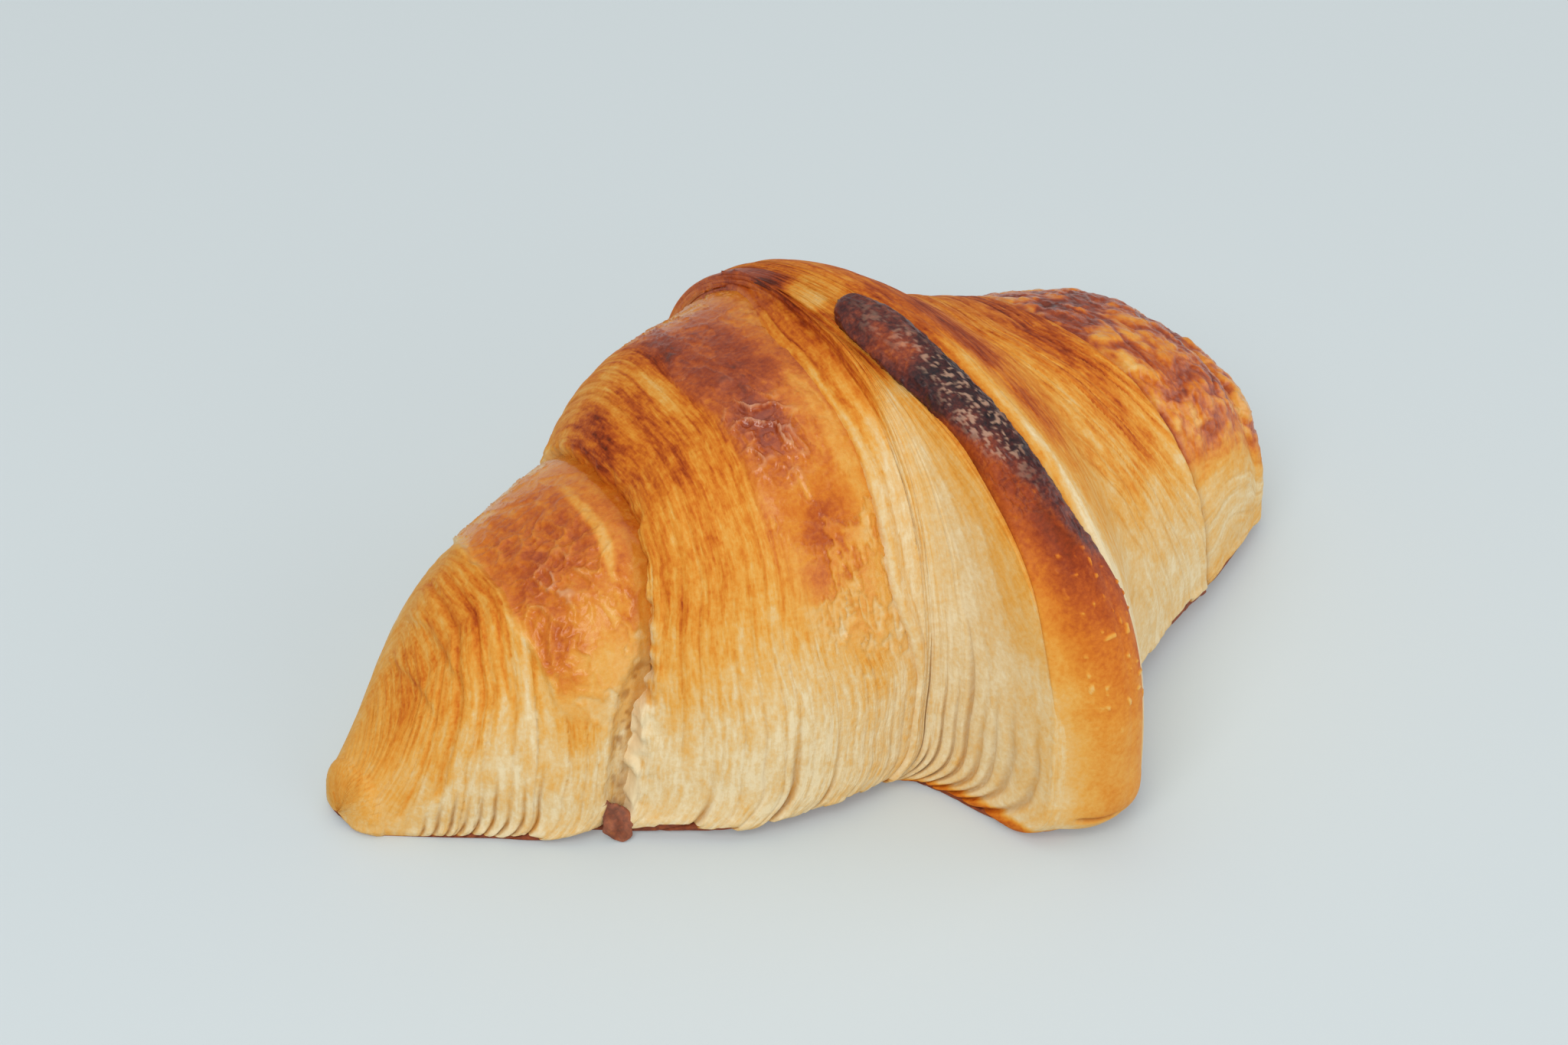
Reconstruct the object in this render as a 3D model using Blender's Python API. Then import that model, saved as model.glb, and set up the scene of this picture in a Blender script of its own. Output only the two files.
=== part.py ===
"""A baked butter croissant, as one closed solid lying on its flat underside.

The dough was rolled up along X, so the roll has a seam wherever one wrap of the sheet ends over the next.
The surface is a loft: a row of unlike sections along the roll, each flat below, square at its foot and round
above, whose rings lean with the seams. Grooves at the seams, a swollen lip beside each and the tongue, the
sheet's last turn, are relief on that loft. X runs from the thin tip to the blunt end, -Y is the side towards
which the middle bulges, and the origin is under the middle of the box, on the table.
"""

import bpy
import numpy as np

# Driving sizes, in metres unless a comment says otherwise.
NAME = "croissant"

# The seams across the roll, tip to blunt end: where each meets the front foot, how far it leans along the
# roll by the time it has passed over the top, how far it turns aside where it nears the ground, and how far
# it turns aside behind the top.
SEAMS = (
    (-0.0818, 0.0000, 0.0000, 0.0000),   # rim of the thin tip
    (-0.0575, 0.0175, 0.0000, 0.0000),   # end of the second wrap
    (-0.0190, 0.0100, -0.0045, 0.0020),  # end of the third wrap
    (-0.0118, 0.0044, -0.0012, 0.0010),  # left side of the tongue
    (-0.0016, 0.0010, 0.0008, 0.0000),   # right side of the tongue
    (0.0432, -0.0115, 0.0000, 0.0000),   # end of the third wrap, on the blunt side
    (0.0585, 0.0000, 0.0000, 0.0000),    # rim of the blunt end
)

# The sections: place along the roll counted in seams, height, and reach to the front.
SECTIONS = (
    (0.00, 0.0090, 0.0054),
    (0.50, 0.0306, 0.0136),
    (0.85, 0.0374, 0.0188),
    (1.00, 0.0400, 0.0190),
    (1.15, 0.0454, 0.0228),
    (1.50, 0.0518, 0.0300),
    (1.85, 0.0536, 0.0312),
    (2.00, 0.0550, 0.0312),
    (2.20, 0.0570, 0.0309),
    (2.60, 0.0564, 0.0350),
    (2.80, 0.0562, 0.0415),
    (3.00, 0.0566, 0.0514),
    (4.00, 0.0568, 0.0542),
    (4.50, 0.0470, 0.0332),
    (5.00, 0.0402, 0.0262),
    (5.25, 0.0380, 0.0246),
    (5.70, 0.0338, 0.0222),
    (6.00, 0.0264, 0.0200),
)
BACK_SHARE = 0.85         # reach to the back over the section's height
WIDEST = 0.22             # height of the widest place over the section's height
CROWN_POWER = 2.3         # superellipse power above the widest place
FOOT_POWER = 5.5          # and below it, where the dough stands squarer
SUNK = 0.0006             # how much of the underside is pressed flat
TIP_CAP = 0.0032          # how far the thin tip is rounded out past its rim
BLUNT_CAP = 0.0079        # and the blunt end
TIP_HEART = 0.20          # height of the thin tip's pole over its rim's height
BLUNT_HEART = 0.42        # and the blunt end's
BEND = 0.0072             # how far the horns curve to the back, at BEND_ARM from the middle
BEND_ARM = 0.070
BEND_MIDDLE = 0.005

# Relief at the three seams where a wrap ends: seam number, and on which side its swollen lip lies.
WRAP_ENDS = ((1, -1), (2, -1), (5, 1))
GROOVE_DEPTH = 0.0020
GROOVE_WIDTH = 0.0016
LIP_HEIGHT = 0.0010
LIP_OFFSET = 0.0055
LIP_WIDTH = 0.0040

# The tongue: a low ridge between its two seams, which ends in a round tip just over the top.
TONGUE = 3                # number of its left seam
TONGUE_HEIGHT = 0.0022
TONGUE_TIP_ANGLE = 84.0   # degrees up from the front foot
TONGUE_ROUND = 7.0        # degrees of turn in which the tip rounds off
TONGUE_POWER = 3.0

GROUND_FADE = 0.004       # relief fades out below this height

# Rings and points round each ring.
STEPS_ACROSS_WRAP = (0.0, 0.03, 0.08, 0.17, 0.3, 0.45, 0.6, 0.74, 0.86, 0.94, 0.98)
STEPS_ACROSS_TONGUE = (0.0, 0.08, 0.25, 0.5, 0.75, 0.92)
STEPS_ROUND_CAP = 5
POINTS_ROUND = 46

CRUST_COLOUR = (0.52, 0.24, 0.07, 1.0)
CRUST_ROUGHNESS = 0.5


def smooth_through(at, places, values):
    """Cubic pieces through the values, with slopes that never overshoot (Fritsch and Carlson's mean)."""
    places = np.asarray(places, float)
    values = np.asarray(values, float)
    step = np.diff(places)
    rise = np.diff(values) / step
    before = 2.0 * step[1:] + step[:-1]
    after = step[1:] + 2.0 * step[:-1]
    same_way = rise[:-1] * rise[1:] > 0.0
    safe_left = np.where(same_way, rise[:-1], 1.0)
    safe_right = np.where(same_way, rise[1:], 1.0)
    inner = np.where(same_way, (before + after) / (before / safe_left + after / safe_right), 0.0)
    slope = np.concatenate([rise[:1], inner, rise[-1:]])
    i = np.clip(np.searchsorted(places, at, side="right") - 1, 0, len(step) - 1)
    t = (at - places[i]) / step[i]
    from_left = (2 * t**3 - 3 * t**2 + 1) * values[i] + (t**3 - 2 * t**2 + t) * step[i] * slope[i]
    from_right = (3 * t**2 - 2 * t**3) * values[i + 1] + (t**3 - t**2) * step[i] * slope[i + 1]
    return from_left + from_right


def ease(value, low, high):
    """Smooth step from 0 at low to 1 at high."""
    t = np.clip((value - low) / (high - low), 0.0, 1.0)
    return t * t * (3.0 - 2.0 * t)


def lean_share(angle):
    """Share of a seam's lean at an angle: 0 at the front foot, 1 past the top, and back under the base."""
    return smooth_through(angle, (-90, -55, -20, 50, 120, 190, 235, 270),
                          (0.45, -0.15, 0.0, 0.5, 1.0, 1.25, 1.1, 0.45))


def seam_places(angle):
    """Place along X of every seam at each angle, one row for each seam."""
    near_ground = np.clip((15.0 - angle) / 70.0, 0.0, 1.0) ** 1.5 * (angle > -75.0)
    near_ground = near_ground + (angle <= -75.0) * np.clip((angle + 90.0) / 15.0, 0.0, 1.0)
    past_crown = ease(angle, 80.0, 120.0) * (1.0 - ease(angle, 180.0, 230.0))
    rows = [foot + lean * lean_share(angle) + turn * near_ground + behind * past_crown
            for foot, lean, turn, behind in SEAMS]
    return np.stack(rows)


def place_along(wraps, angle):
    """X of a ring line: straight between the two seams on either side of it."""
    seams = seam_places(angle)
    left = np.clip(np.floor(wraps).astype(int), 0, len(SEAMS) - 2)
    x_left = np.take_along_axis(seams, left[None], 0)[0]
    x_right = np.take_along_axis(seams, left[None] + 1, 0)[0]
    return x_left + (x_right - x_left) * (wraps - left)


def tongue_relief(wraps, angle):
    """Height of the tongue: level across the middle, falling off at both sides and round the tip."""
    across = np.abs(2.0 * (wraps - TONGUE) - 1.0)
    past_round = np.clip((angle - (TONGUE_TIP_ANGLE - TONGUE_ROUND)) / TONGUE_ROUND, 0.0, None)
    out = np.clip(np.hypot(across, past_round), 0.0, 1.0)
    return TONGUE_HEIGHT * (1.0 - out**TONGUE_POWER)


def seam_relief(x, angle):
    """Groove along each seam where a wrap ends, and the swollen lip of the wrap beside it."""
    seams = seam_places(angle)
    height = np.zeros_like(x)
    for number, lip_side in WRAP_ENDS:
        away = x - seams[number]
        height -= GROOVE_DEPTH * np.exp(-(away / GROOVE_WIDTH) ** 2)
        height += LIP_HEIGHT * np.exp(-((away - lip_side * LIP_OFFSET) / LIP_WIDTH) ** 2)
    return height


def form(wraps, angle):
    """Point of the surface at a place counted in seams and an angle from -90 under the base round to 270.

    The section is a superellipse about its widest height, pressed flat below, and the relief moves it out
    from its heart. Past the first and the last seam the ring shrinks to a pole along a quarter circle.
    """
    wraps, angle = np.broadcast_arrays(np.asarray(wraps, float), np.asarray(angle, float))
    last = len(SEAMS) - 1.0
    on_roll = np.clip(wraps, 0.0, last)
    places, heights, reaches = np.transpose(SECTIONS)
    height = smooth_through(on_roll, places, heights)
    reach = smooth_through(on_roll, places, reaches)
    x = place_along(on_roll, angle)

    cosine = np.cos(np.radians(angle))
    sine = np.sin(np.radians(angle))
    past_rim = np.clip(np.maximum(-wraps, wraps - last) / 0.5, 0.0, 1.0)
    foot_power = FOOT_POWER + (2.0 - FOOT_POWER) * past_rim
    power = 2.0 / np.where(sine >= 0.0, CROWN_POWER, foot_power)
    out = np.sign(cosine) * np.abs(cosine) ** power
    up = np.sign(sine) * np.abs(sine) ** power
    widest = WIDEST * height
    y = np.where(cosine >= 0.0, -reach * out, -BACK_SHARE * height * out)
    z = np.where(sine >= 0.0, widest + (height - widest) * up, widest + widest * up)

    relief = seam_relief(x, angle) + tongue_relief(wraps, angle)
    relief = relief * np.clip(z / GROUND_FADE, 0.0, 1.0)
    heart = np.where(wraps < 0.0, TIP_HEART, BLUNT_HEART) * height
    far = np.hypot(y, z - heart)
    y = y + relief * y / far
    z = z + relief * (z - heart) / far
    z = np.maximum(z - SUNK, 0.0)

    turn = 0.5 * np.pi * past_rim
    shrink = np.cos(turn)
    cap = np.where(wraps < 0.0, -TIP_CAP, BLUNT_CAP) * np.sin(turn)
    middle = 0.5 * (BACK_SHARE * height - reach)
    y = middle + shrink * (y - middle)
    z = heart + shrink * (z - heart)
    bend = BEND * ((x - BEND_MIDDLE) / BEND_ARM) ** 2
    return np.stack([x + cap, y + bend, z], -1)


def ring_places():
    """Places of the rings, counted in seams: close together at the seams, with the caps' rings outside."""
    caps = 0.5 * (np.arange(1, STEPS_ROUND_CAP) / STEPS_ROUND_CAP)
    wraps = [-caps[::-1]]
    for number in range(len(SEAMS) - 1):
        steps = STEPS_ACROSS_TONGUE if number == TONGUE else STEPS_ACROSS_WRAP
        wraps.append(number + np.array(steps))
    last = len(SEAMS) - 1.0
    wraps.append(np.array([last]))
    wraps.append(last + caps)
    return np.concatenate(wraps)


def croissant_mesh():
    """Rings of points joined by quads, with a fan of triangles at each pole."""
    rings = ring_places()
    angles = -90.0 + 360.0 * np.arange(POINTS_ROUND) / POINTS_ROUND
    grid = form(rings[:, None], angles[None, :])
    last = len(SEAMS) - 1.0
    poles = np.stack([form(-0.5, 0.0), form(last + 0.5, 0.0)])
    points = np.concatenate([grid.reshape(-1, 3), poles])
    low = points.min(axis=0)
    high = points.max(axis=0)
    points = points - np.array([0.5 * (low[0] + high[0]), 0.5 * (low[1] + high[1]), low[2]])

    number = np.arange(grid.shape[0] * POINTS_ROUND).reshape(grid.shape[0], POINTS_ROUND)
    after = np.roll(number, -1, axis=1)
    quads = np.stack([number[:-1], number[1:], after[1:], after[:-1]], -1).reshape(-1, 4)
    tip_pole = number.size
    blunt_pole = number.size + 1
    faces = quads.tolist()
    faces += [[tip_pole, a, b] for a, b in zip(number[0], after[0])]
    faces += [[blunt_pole, b, a] for a, b in zip(number[-1], after[-1])]

    mesh = bpy.data.meshes.new(NAME)
    mesh.from_pydata(points.tolist(), [], faces)
    mesh.validate()
    mesh.shade_smooth()
    return mesh


def crust_material():
    """Baked, egg-washed crust."""
    material = bpy.data.materials.new("crust")
    material.use_nodes = True
    shader = material.node_tree.nodes["Principled BSDF"]
    shader.inputs["Base Color"].default_value = CRUST_COLOUR
    shader.inputs["Roughness"].default_value = CRUST_ROUGHNESS
    shader.inputs["Metallic"].default_value = 0.0
    return material


for old in list(bpy.data.objects):
    bpy.data.objects.remove(old)

collection = bpy.data.collections.new(NAME)
bpy.context.scene.collection.children.link(collection)
croissant = bpy.data.objects.new(NAME, croissant_mesh())
croissant.data.materials.append(crust_material())
collection.objects.link(croissant)
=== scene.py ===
"""Looks of a baked butter croissant: its wraps of laminated dough, its tongue and one torn flake."""

import math

import bpy
import numpy as np
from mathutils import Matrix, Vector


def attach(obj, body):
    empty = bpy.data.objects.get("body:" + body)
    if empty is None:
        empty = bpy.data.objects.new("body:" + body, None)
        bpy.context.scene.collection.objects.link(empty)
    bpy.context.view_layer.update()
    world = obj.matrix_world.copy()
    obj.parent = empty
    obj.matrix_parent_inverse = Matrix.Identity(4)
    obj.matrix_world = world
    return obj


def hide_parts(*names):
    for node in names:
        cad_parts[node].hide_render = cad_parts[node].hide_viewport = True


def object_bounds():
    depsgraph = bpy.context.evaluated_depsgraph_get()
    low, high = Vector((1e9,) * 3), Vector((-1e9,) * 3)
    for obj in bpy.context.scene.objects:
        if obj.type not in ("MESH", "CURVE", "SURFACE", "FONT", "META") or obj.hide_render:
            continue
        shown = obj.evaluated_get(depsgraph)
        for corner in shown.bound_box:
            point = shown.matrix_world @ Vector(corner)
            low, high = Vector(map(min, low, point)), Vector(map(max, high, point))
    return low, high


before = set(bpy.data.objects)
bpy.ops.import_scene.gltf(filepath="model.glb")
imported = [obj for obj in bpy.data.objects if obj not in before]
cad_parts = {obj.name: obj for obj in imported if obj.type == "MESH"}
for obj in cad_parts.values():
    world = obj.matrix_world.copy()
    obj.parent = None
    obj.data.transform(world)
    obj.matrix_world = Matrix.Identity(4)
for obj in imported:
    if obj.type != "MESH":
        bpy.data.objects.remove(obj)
cad_low, cad_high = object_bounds()


# ------------------------------------------------------------------------------
# Studio. A pale table top under soft daylight: a wide window light from the thin tip's side, a weaker one
# from the front, and a bright room all round. The camera looks down at the bulging side, past the thin tip.

MM = 0.001
CAMERA_DISTANCE = 0.550
CAMERA_TURN = math.radians(37.2)               # round from the front towards the thin tip
CAMERA_RISE = math.radians(36.0)
CAMERA_LENS = 90.0
CAMERA_SENSOR = 36.0
CAMERA_AIM = (-6.1 * MM, 7.0 * MM, 25.0 * MM)  # from under the middle of the box
TABLE_COLOUR = (0.49, 0.545, 0.56)
# Painted light: the table glows so that the shadows on it stay pale.
TABLE_GLOW = 0.17
TABLE_SIZE = 6.0
DAYLIGHT = (1.0, 0.99, 0.98)
ROOM_COLOUR = (0.93, 0.97, 1.0, 1.0)
ROOM_STRENGTH = 0.46
LIGHTS = (                                     # name, place, size, power and colour
    ("window", (-0.60, -0.45, 0.80), 0.60, 5.3, (1.0, 0.985, 0.96)),
    ("ceiling", (0.05, 0.25, 1.10), 1.20, 2.8, DAYLIGHT),
    ("right fill", (1.05, -0.40, 0.30), 0.80, 3.0, DAYLIGHT),
    ("front fill", (0.10, -1.10, 0.30), 0.80, 2.6, DAYLIGHT),
)


def aim_from(place, target):
    """Rotation that turns an object's -Z from its place towards the target, with +Y up."""
    away = [p - t for p, t in zip(place, target)]
    flat = math.hypot(away[0], away[1])
    return (math.atan2(flat, away[2]), 0.0, math.atan2(away[0], -away[1]))


def add_camera():
    """A camera at a distance from its target, turned and raised as the sizes above say."""
    middle = [0.5 * (cad_low[i] + cad_high[i]) for i in range(2)] + [cad_low[2]]
    target = [middle[i] + CAMERA_AIM[i] for i in range(3)]
    back = (-math.sin(CAMERA_TURN) * math.cos(CAMERA_RISE),
            -math.cos(CAMERA_TURN) * math.cos(CAMERA_RISE),
            math.sin(CAMERA_RISE))
    data = bpy.data.cameras.new("camera")
    data.lens = CAMERA_LENS
    data.sensor_width = CAMERA_SENSOR
    data.clip_start = 0.01
    camera = bpy.data.objects.new("camera", data)
    camera.location = [target[i] + CAMERA_DISTANCE * back[i] for i in range(3)]
    camera.rotation_euler = aim_from(camera.location, target)
    bpy.context.scene.collection.objects.link(camera)
    bpy.context.scene.camera = camera


def add_light(name, place, size, power, colour):
    """A square area light that looks at the middle of the croissant."""
    data = bpy.data.lights.new(name, "AREA")
    data.shape = "SQUARE"
    data.size = size
    data.energy = power
    data.color = colour
    light = bpy.data.objects.new(name, data)
    light.location = place
    light.rotation_euler = aim_from(place, (0.0, 0.0, 0.02))
    bpy.context.scene.collection.objects.link(light)


def add_table():
    """One large square sheet at the height of the croissant's underside, matt, with a faint painted glow."""
    half = 0.5 * TABLE_SIZE
    z = cad_low[2]
    corners = [(-half, -half, z), (half, -half, z), (half, half, z), (-half, half, z)]
    mesh = bpy.data.meshes.new("table")
    mesh.from_pydata(corners, [], [(0, 1, 2, 3)])
    table = bpy.data.objects.new("table", mesh)
    bpy.context.scene.collection.objects.link(table)
    material = bpy.data.materials.new("table top")
    material.use_nodes = True
    shader = material.node_tree.nodes["Principled BSDF"]
    shader.inputs["Base Color"].default_value = (*TABLE_COLOUR, 1.0)
    shader.inputs["Roughness"].default_value = 0.6
    shader.inputs["Specular IOR Level"].default_value = 0.2
    shader.inputs["Emission Color"].default_value = (0.93, 0.99, 1.0, 1.0)
    shader.inputs["Emission Strength"].default_value = TABLE_GLOW
    mesh.materials.append(material)


def add_room():
    """An even, faintly blue light from all round."""
    world = bpy.data.worlds.new("room")
    world.use_nodes = True
    background = world.node_tree.nodes["Background"]
    background.inputs["Color"].default_value = ROOM_COLOUR
    background.inputs["Strength"].default_value = ROOM_STRENGTH
    bpy.context.scene.world = world


add_camera()
add_table()
for light in LIGHTS:
    add_light(*light)
add_room()
bpy.context.scene.view_settings.view_transform = "Standard"


# ------------------------------------------------------------------------------
# Thin tip's wrap. The dough was cut as a triangle and rolled up from its base, so each wrap shows its cut
# layers towards the tip and its glazed skin towards the middle. This first wrap is all that shows of the
# innermost turns; it runs from the tip to the seam where the next wrap lies over it.

# The seams across the roll, tip to blunt end: where each meets the front foot, how far it leans along the
# roll by the time it has passed over the top, how far it turns aside where it nears the ground, and how far
# it leans again behind the crown. All in millimetres.
SEAMS = (
    (-81.8, 0.0, 0.0, 0.0),
    (-57.5, 17.5, 0.0, 0.0),
    (-19.0, 10.0, -4.5, 2.5),
    (-11.8, 4.4, -1.2, 1.0),
    (-1.6, 1.0, 0.8, 0.0),
    (43.2, -11.5, 0.0, 0.0),
    (58.5, 0.0, 0.0, 0.0),
)
# The sections: place along the roll counted in seams, height, and reach to the front, in millimetres.
SECTIONS = (
    (0.00, 9.0, 5.4),
    (0.50, 30.6, 13.6),
    (0.85, 37.4, 18.8),
    (1.00, 40.0, 19.0),
    (1.15, 45.4, 22.8),
    (1.50, 51.8, 30.0),
    (1.85, 53.6, 31.2),
    (2.00, 55.0, 31.2),
    (2.20, 57.0, 30.9),
    (2.60, 56.4, 35.0),
    (2.80, 56.2, 41.5),
    (3.00, 56.6, 51.4),
    (4.00, 56.8, 54.2),
    (4.50, 47.0, 33.2),
    (5.00, 40.2, 26.2),
    (5.25, 38.0, 24.6),
    (5.70, 33.8, 22.2),
    (6.00, 26.4, 20.0),
)
LAST_SEAM = len(SEAMS) - 1.0
BACK_SHARE = 0.85              # reach to the back as a share of the height
WIDEST = 0.22                  # height at which a section is widest, as a share of its own
CROWN_POWER = 2.3              # 2 is an ellipse; above it the section is squarer
FOOT_POWER = 5.5
SUNK = 0.6                     # how much of the underside is pressed flat
TIP_CAP = 3.2                  # how far each end rounds out past its last section
BLUNT_CAP = 7.9
TIP_HEART = 0.20               # height of each end's pole, as a share of the section's
BLUNT_HEART = 0.32
BEND = 7.2                     # how far both horns bend back at an arm's length from the bend's middle
BEND_ARM = 70.0
BEND_MIDDLE = 5.0
FLOOR = 1000.0 * cad_low[2]
FORM_SHIFT = np.array([9.3, 3.7, FLOOR])    # from the form's zero to the frame's

# How high the brown foot reaches, by place along the roll.
FOOT_LINE = (
    (-0.5, 0.2), (0.0, 0.3), (0.3, 0.7), (0.7, 1.2), (0.9, 2.2), (1.05, 1.6), (1.3, 1.9), (1.6, 2.4),
    (1.9, 2.2), (2.2, 1.0), (2.7, 0.4), (3.0, 0.6), (3.5, 1.8), (4.0, 4.0), (4.6, 4.0), (5.2, 4.0),
    (6.0, 2.6), (6.5, 1.0),
)
ROWS = 500                     # points round each ring
FIELD_VALUES = np.random.default_rng(7).uniform(-1.0, 1.0, 4096)
LOOKS = ("bake", "gap", "char", "pale_film_and_glint", "glaze", "cut")


def smooth_through(at, places, values):
    """Cubic pieces through the values, with slopes that never overshoot (Fritsch and Carlson's mean)."""
    places = np.asarray(places, float)
    values = np.asarray(values, float)
    step = np.diff(places)
    rise = np.diff(values) / step
    before = 2.0 * step[1:] + step[:-1]
    after = step[1:] + 2.0 * step[:-1]
    same_way = rise[:-1] * rise[1:] > 0.0
    safe_left = np.where(same_way, rise[:-1], 1.0)
    safe_right = np.where(same_way, rise[1:], 1.0)
    inner = np.where(same_way, (before + after) / (before / safe_left + after / safe_right), 0.0)
    slope = np.concatenate([rise[:1], inner, rise[-1:]])
    at = np.clip(at, places[0], places[-1])
    i = np.clip(np.searchsorted(places, at, side="right") - 1, 0, len(step) - 1)
    t = (at - places[i]) / step[i]
    from_left = (2 * t**3 - 3 * t**2 + 1) * values[i] + (t**3 - 2 * t**2 + t) * step[i] * slope[i]
    from_right = (3 * t**2 - 2 * t**3) * values[i + 1] + (t**3 - t**2) * step[i] * slope[i + 1]
    return from_left + from_right


def ease(value, low, high):
    """Smooth step from 0 at low to 1 at high."""
    t = np.clip((value - low) / (high - low), 0.0, 1.0)
    return t * t * (3.0 - 2.0 * t)


def lean_share(angle):
    """Share of a seam's lean at an angle: 0 at the front foot, 1 past the top, and back under the base."""
    return smooth_through(angle, (-90, -55, -20, 50, 120, 190, 235, 270),
                          (0.45, -0.15, 0.0, 0.5, 1.0, 1.25, 1.1, 0.45))


def seam_place(number, angle):
    """Place along the roll of one seam at each angle."""
    foot, lean, turn, behind = SEAMS[number]
    near_ground = np.clip((15.0 - angle) / 70.0, 0.0, 1.0) ** 1.5
    near_ground = np.where(angle > -75.0, near_ground, np.clip((angle + 90.0) / 15.0, 0.0, 1.0))
    past_crown = ease(angle, 80.0, 120.0) * (1.0 - ease(angle, 180.0, 230.0))
    return foot + lean * lean_share(angle) + turn * near_ground + behind * past_crown


def place_along(wraps, angle):
    """Place along the roll of a ring line: straight between the two seams on either side of it."""
    seams = np.stack([seam_place(n, angle) for n in range(len(SEAMS))])
    left = np.clip(np.floor(wraps).astype(int), 0, len(SEAMS) - 2)
    x_left = np.take_along_axis(seams, left[None], 0)[0]
    x_right = np.take_along_axis(seams, left[None] + 1, 0)[0]
    return x_left + (x_right - x_left) * (wraps - left)


def dough_form(wraps, angle):
    """Point of the smooth form, in millimetres, at a place counted in seams and an angle round the ring.

    The section is a superellipse about its widest height, pressed flat below. Past the first and the last
    seam the ring shrinks to a pole along a quarter circle.
    """
    on_roll = np.clip(wraps, 0.0, LAST_SEAM)
    places, heights, reaches = np.transpose(SECTIONS)
    height = smooth_through(on_roll, places, heights)
    reach = smooth_through(on_roll, places, reaches)
    x = place_along(on_roll, angle)
    past_rim = np.clip(np.maximum(-wraps, wraps - LAST_SEAM) / 0.5, 0.0, 1.0)

    cosine = np.cos(np.radians(angle))
    sine = np.sin(np.radians(angle))
    foot_power = FOOT_POWER + (2.0 - FOOT_POWER) * past_rim
    power = 2.0 / np.where(sine >= 0.0, CROWN_POWER, foot_power)
    out = np.sign(cosine) * np.abs(cosine) ** power
    up = np.sign(sine) * np.abs(sine) ** power
    widest = WIDEST * height
    y = np.where(cosine >= 0.0, -reach * out, -BACK_SHARE * height * out)
    z = np.where(sine >= 0.0, widest + (height - widest) * up, widest + widest * up)
    z = np.maximum(z - SUNK, 0.0)

    turn = 0.5 * np.pi * past_rim
    shrink = np.cos(turn)
    cap = np.where(wraps < 0.0, -TIP_CAP, BLUNT_CAP) * np.sin(turn)
    middle = 0.5 * (BACK_SHARE * height - reach)
    heart = np.where(wraps < 0.0, TIP_HEART, BLUNT_HEART) * height
    y = middle + shrink * (y - middle)
    z = heart + shrink * (z - heart)
    bend = BEND * ((x - BEND_MIDDLE) / BEND_ARM) ** 2
    return np.stack([x + cap, y + bend, z], -1)


def field(points, size, seed):
    """Smooth random field from -1 to 1: random values at the corners of cubes, eased between them."""
    scaled = points / np.asarray(size, float) + 17.3 * seed
    cell = np.floor(scaled).astype(np.int64)
    t = scaled - cell
    t = t * t * (3.0 - 2.0 * t)
    total = np.zeros(points.shape[:-1])
    for corner in range(8):
        step = np.array([corner & 1, (corner >> 1) & 1, (corner >> 2) & 1])
        i = cell + step
        number = (i[..., 0] * 73856093 ^ i[..., 1] * 19349663 ^ i[..., 2] * 83492791) + seed * 7919
        share = np.prod(np.where(step == 1, t, 1.0 - t), axis=-1)
        total += share * FIELD_VALUES[number & 4095]
    return total


def rough_field(points, size, seed, octaves=3):
    """Sum of fields, each half the size and half the strength of the one before."""
    return sum(field(points, size / 2**k, seed + 31 * k) / 2**k for k in range(octaves)) / 1.6


def layer_noise(layer, along, length, seed):
    """Random value from -1 to 1 for each layer, which drifts along the layer over the given length."""
    points = np.stack([layer * 1.0, along / length, 0.0 * along + 0.5], -1)
    return field(points, 1.0, seed)


def lengths(points, axis):
    """Distance along one axis of a grid of points, from its first point."""
    step = np.linalg.norm(np.diff(points, axis=axis), axis=-1)
    start = np.zeros_like(step[:1] if axis == 0 else step[:, :1])
    return np.concatenate([start, np.cumsum(step, axis=axis)], axis=axis)


def outward(points):
    """Unit normals of a grid whose rows go round the roll and whose columns go along it."""
    along = np.gradient(points, axis=1)
    round_it = np.roll(points, -1, axis=0) - np.roll(points, 1, axis=0)
    normal = np.cross(along, round_it)
    size = np.linalg.norm(normal, axis=-1, keepdims=True)
    return normal / np.maximum(size, 1e-9)


def crumple(points, size, seed):
    """Creases of a dried, crumpled film, from 0 to 1: crests where a pushed-about field passes through 0."""
    push = [field(points, 1.3 * size, seed + k) for k in (1, 2, 3)]
    pushed = points + 0.45 * size * np.stack(push, -1)
    coarse = 1.0 - np.clip(2.4 * np.abs(field(pushed, size, seed)), 0.0, 1.0)
    fine = 1.0 - np.clip(2.4 * np.abs(field(pushed, 0.45 * size, seed + 5)), 0.0, 1.0)
    return 0.65 * coarse**1.6 + 0.35 * fine**1.6


def layer_edges(first, last, count, seed):
    """Places of the edges of the given number of layers, some of them up to four times as thick as others."""
    thickness = np.random.default_rng(seed).uniform(0.5, 1.7, count)
    return first + (last - first) * np.concatenate([[0.0], np.cumsum(thickness)]) / thickness.sum()


def ring_angles():
    """Angles of the points of a ring, from under the base: closest together over the front and the top."""
    fine = np.linspace(-90.0, 270.0, 3601)
    weight = np.interp(fine, (-90, -52, -42, 125, 145, 222, 232, 270), (0.3, 0.3, 1, 1, 0.62, 0.62, 0.3, 0.3))
    share = np.concatenate([[0.0], np.cumsum(weight[1:])])
    return np.interp(np.arange(ROWS) / ROWS, share / share[-1], fine)


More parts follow.
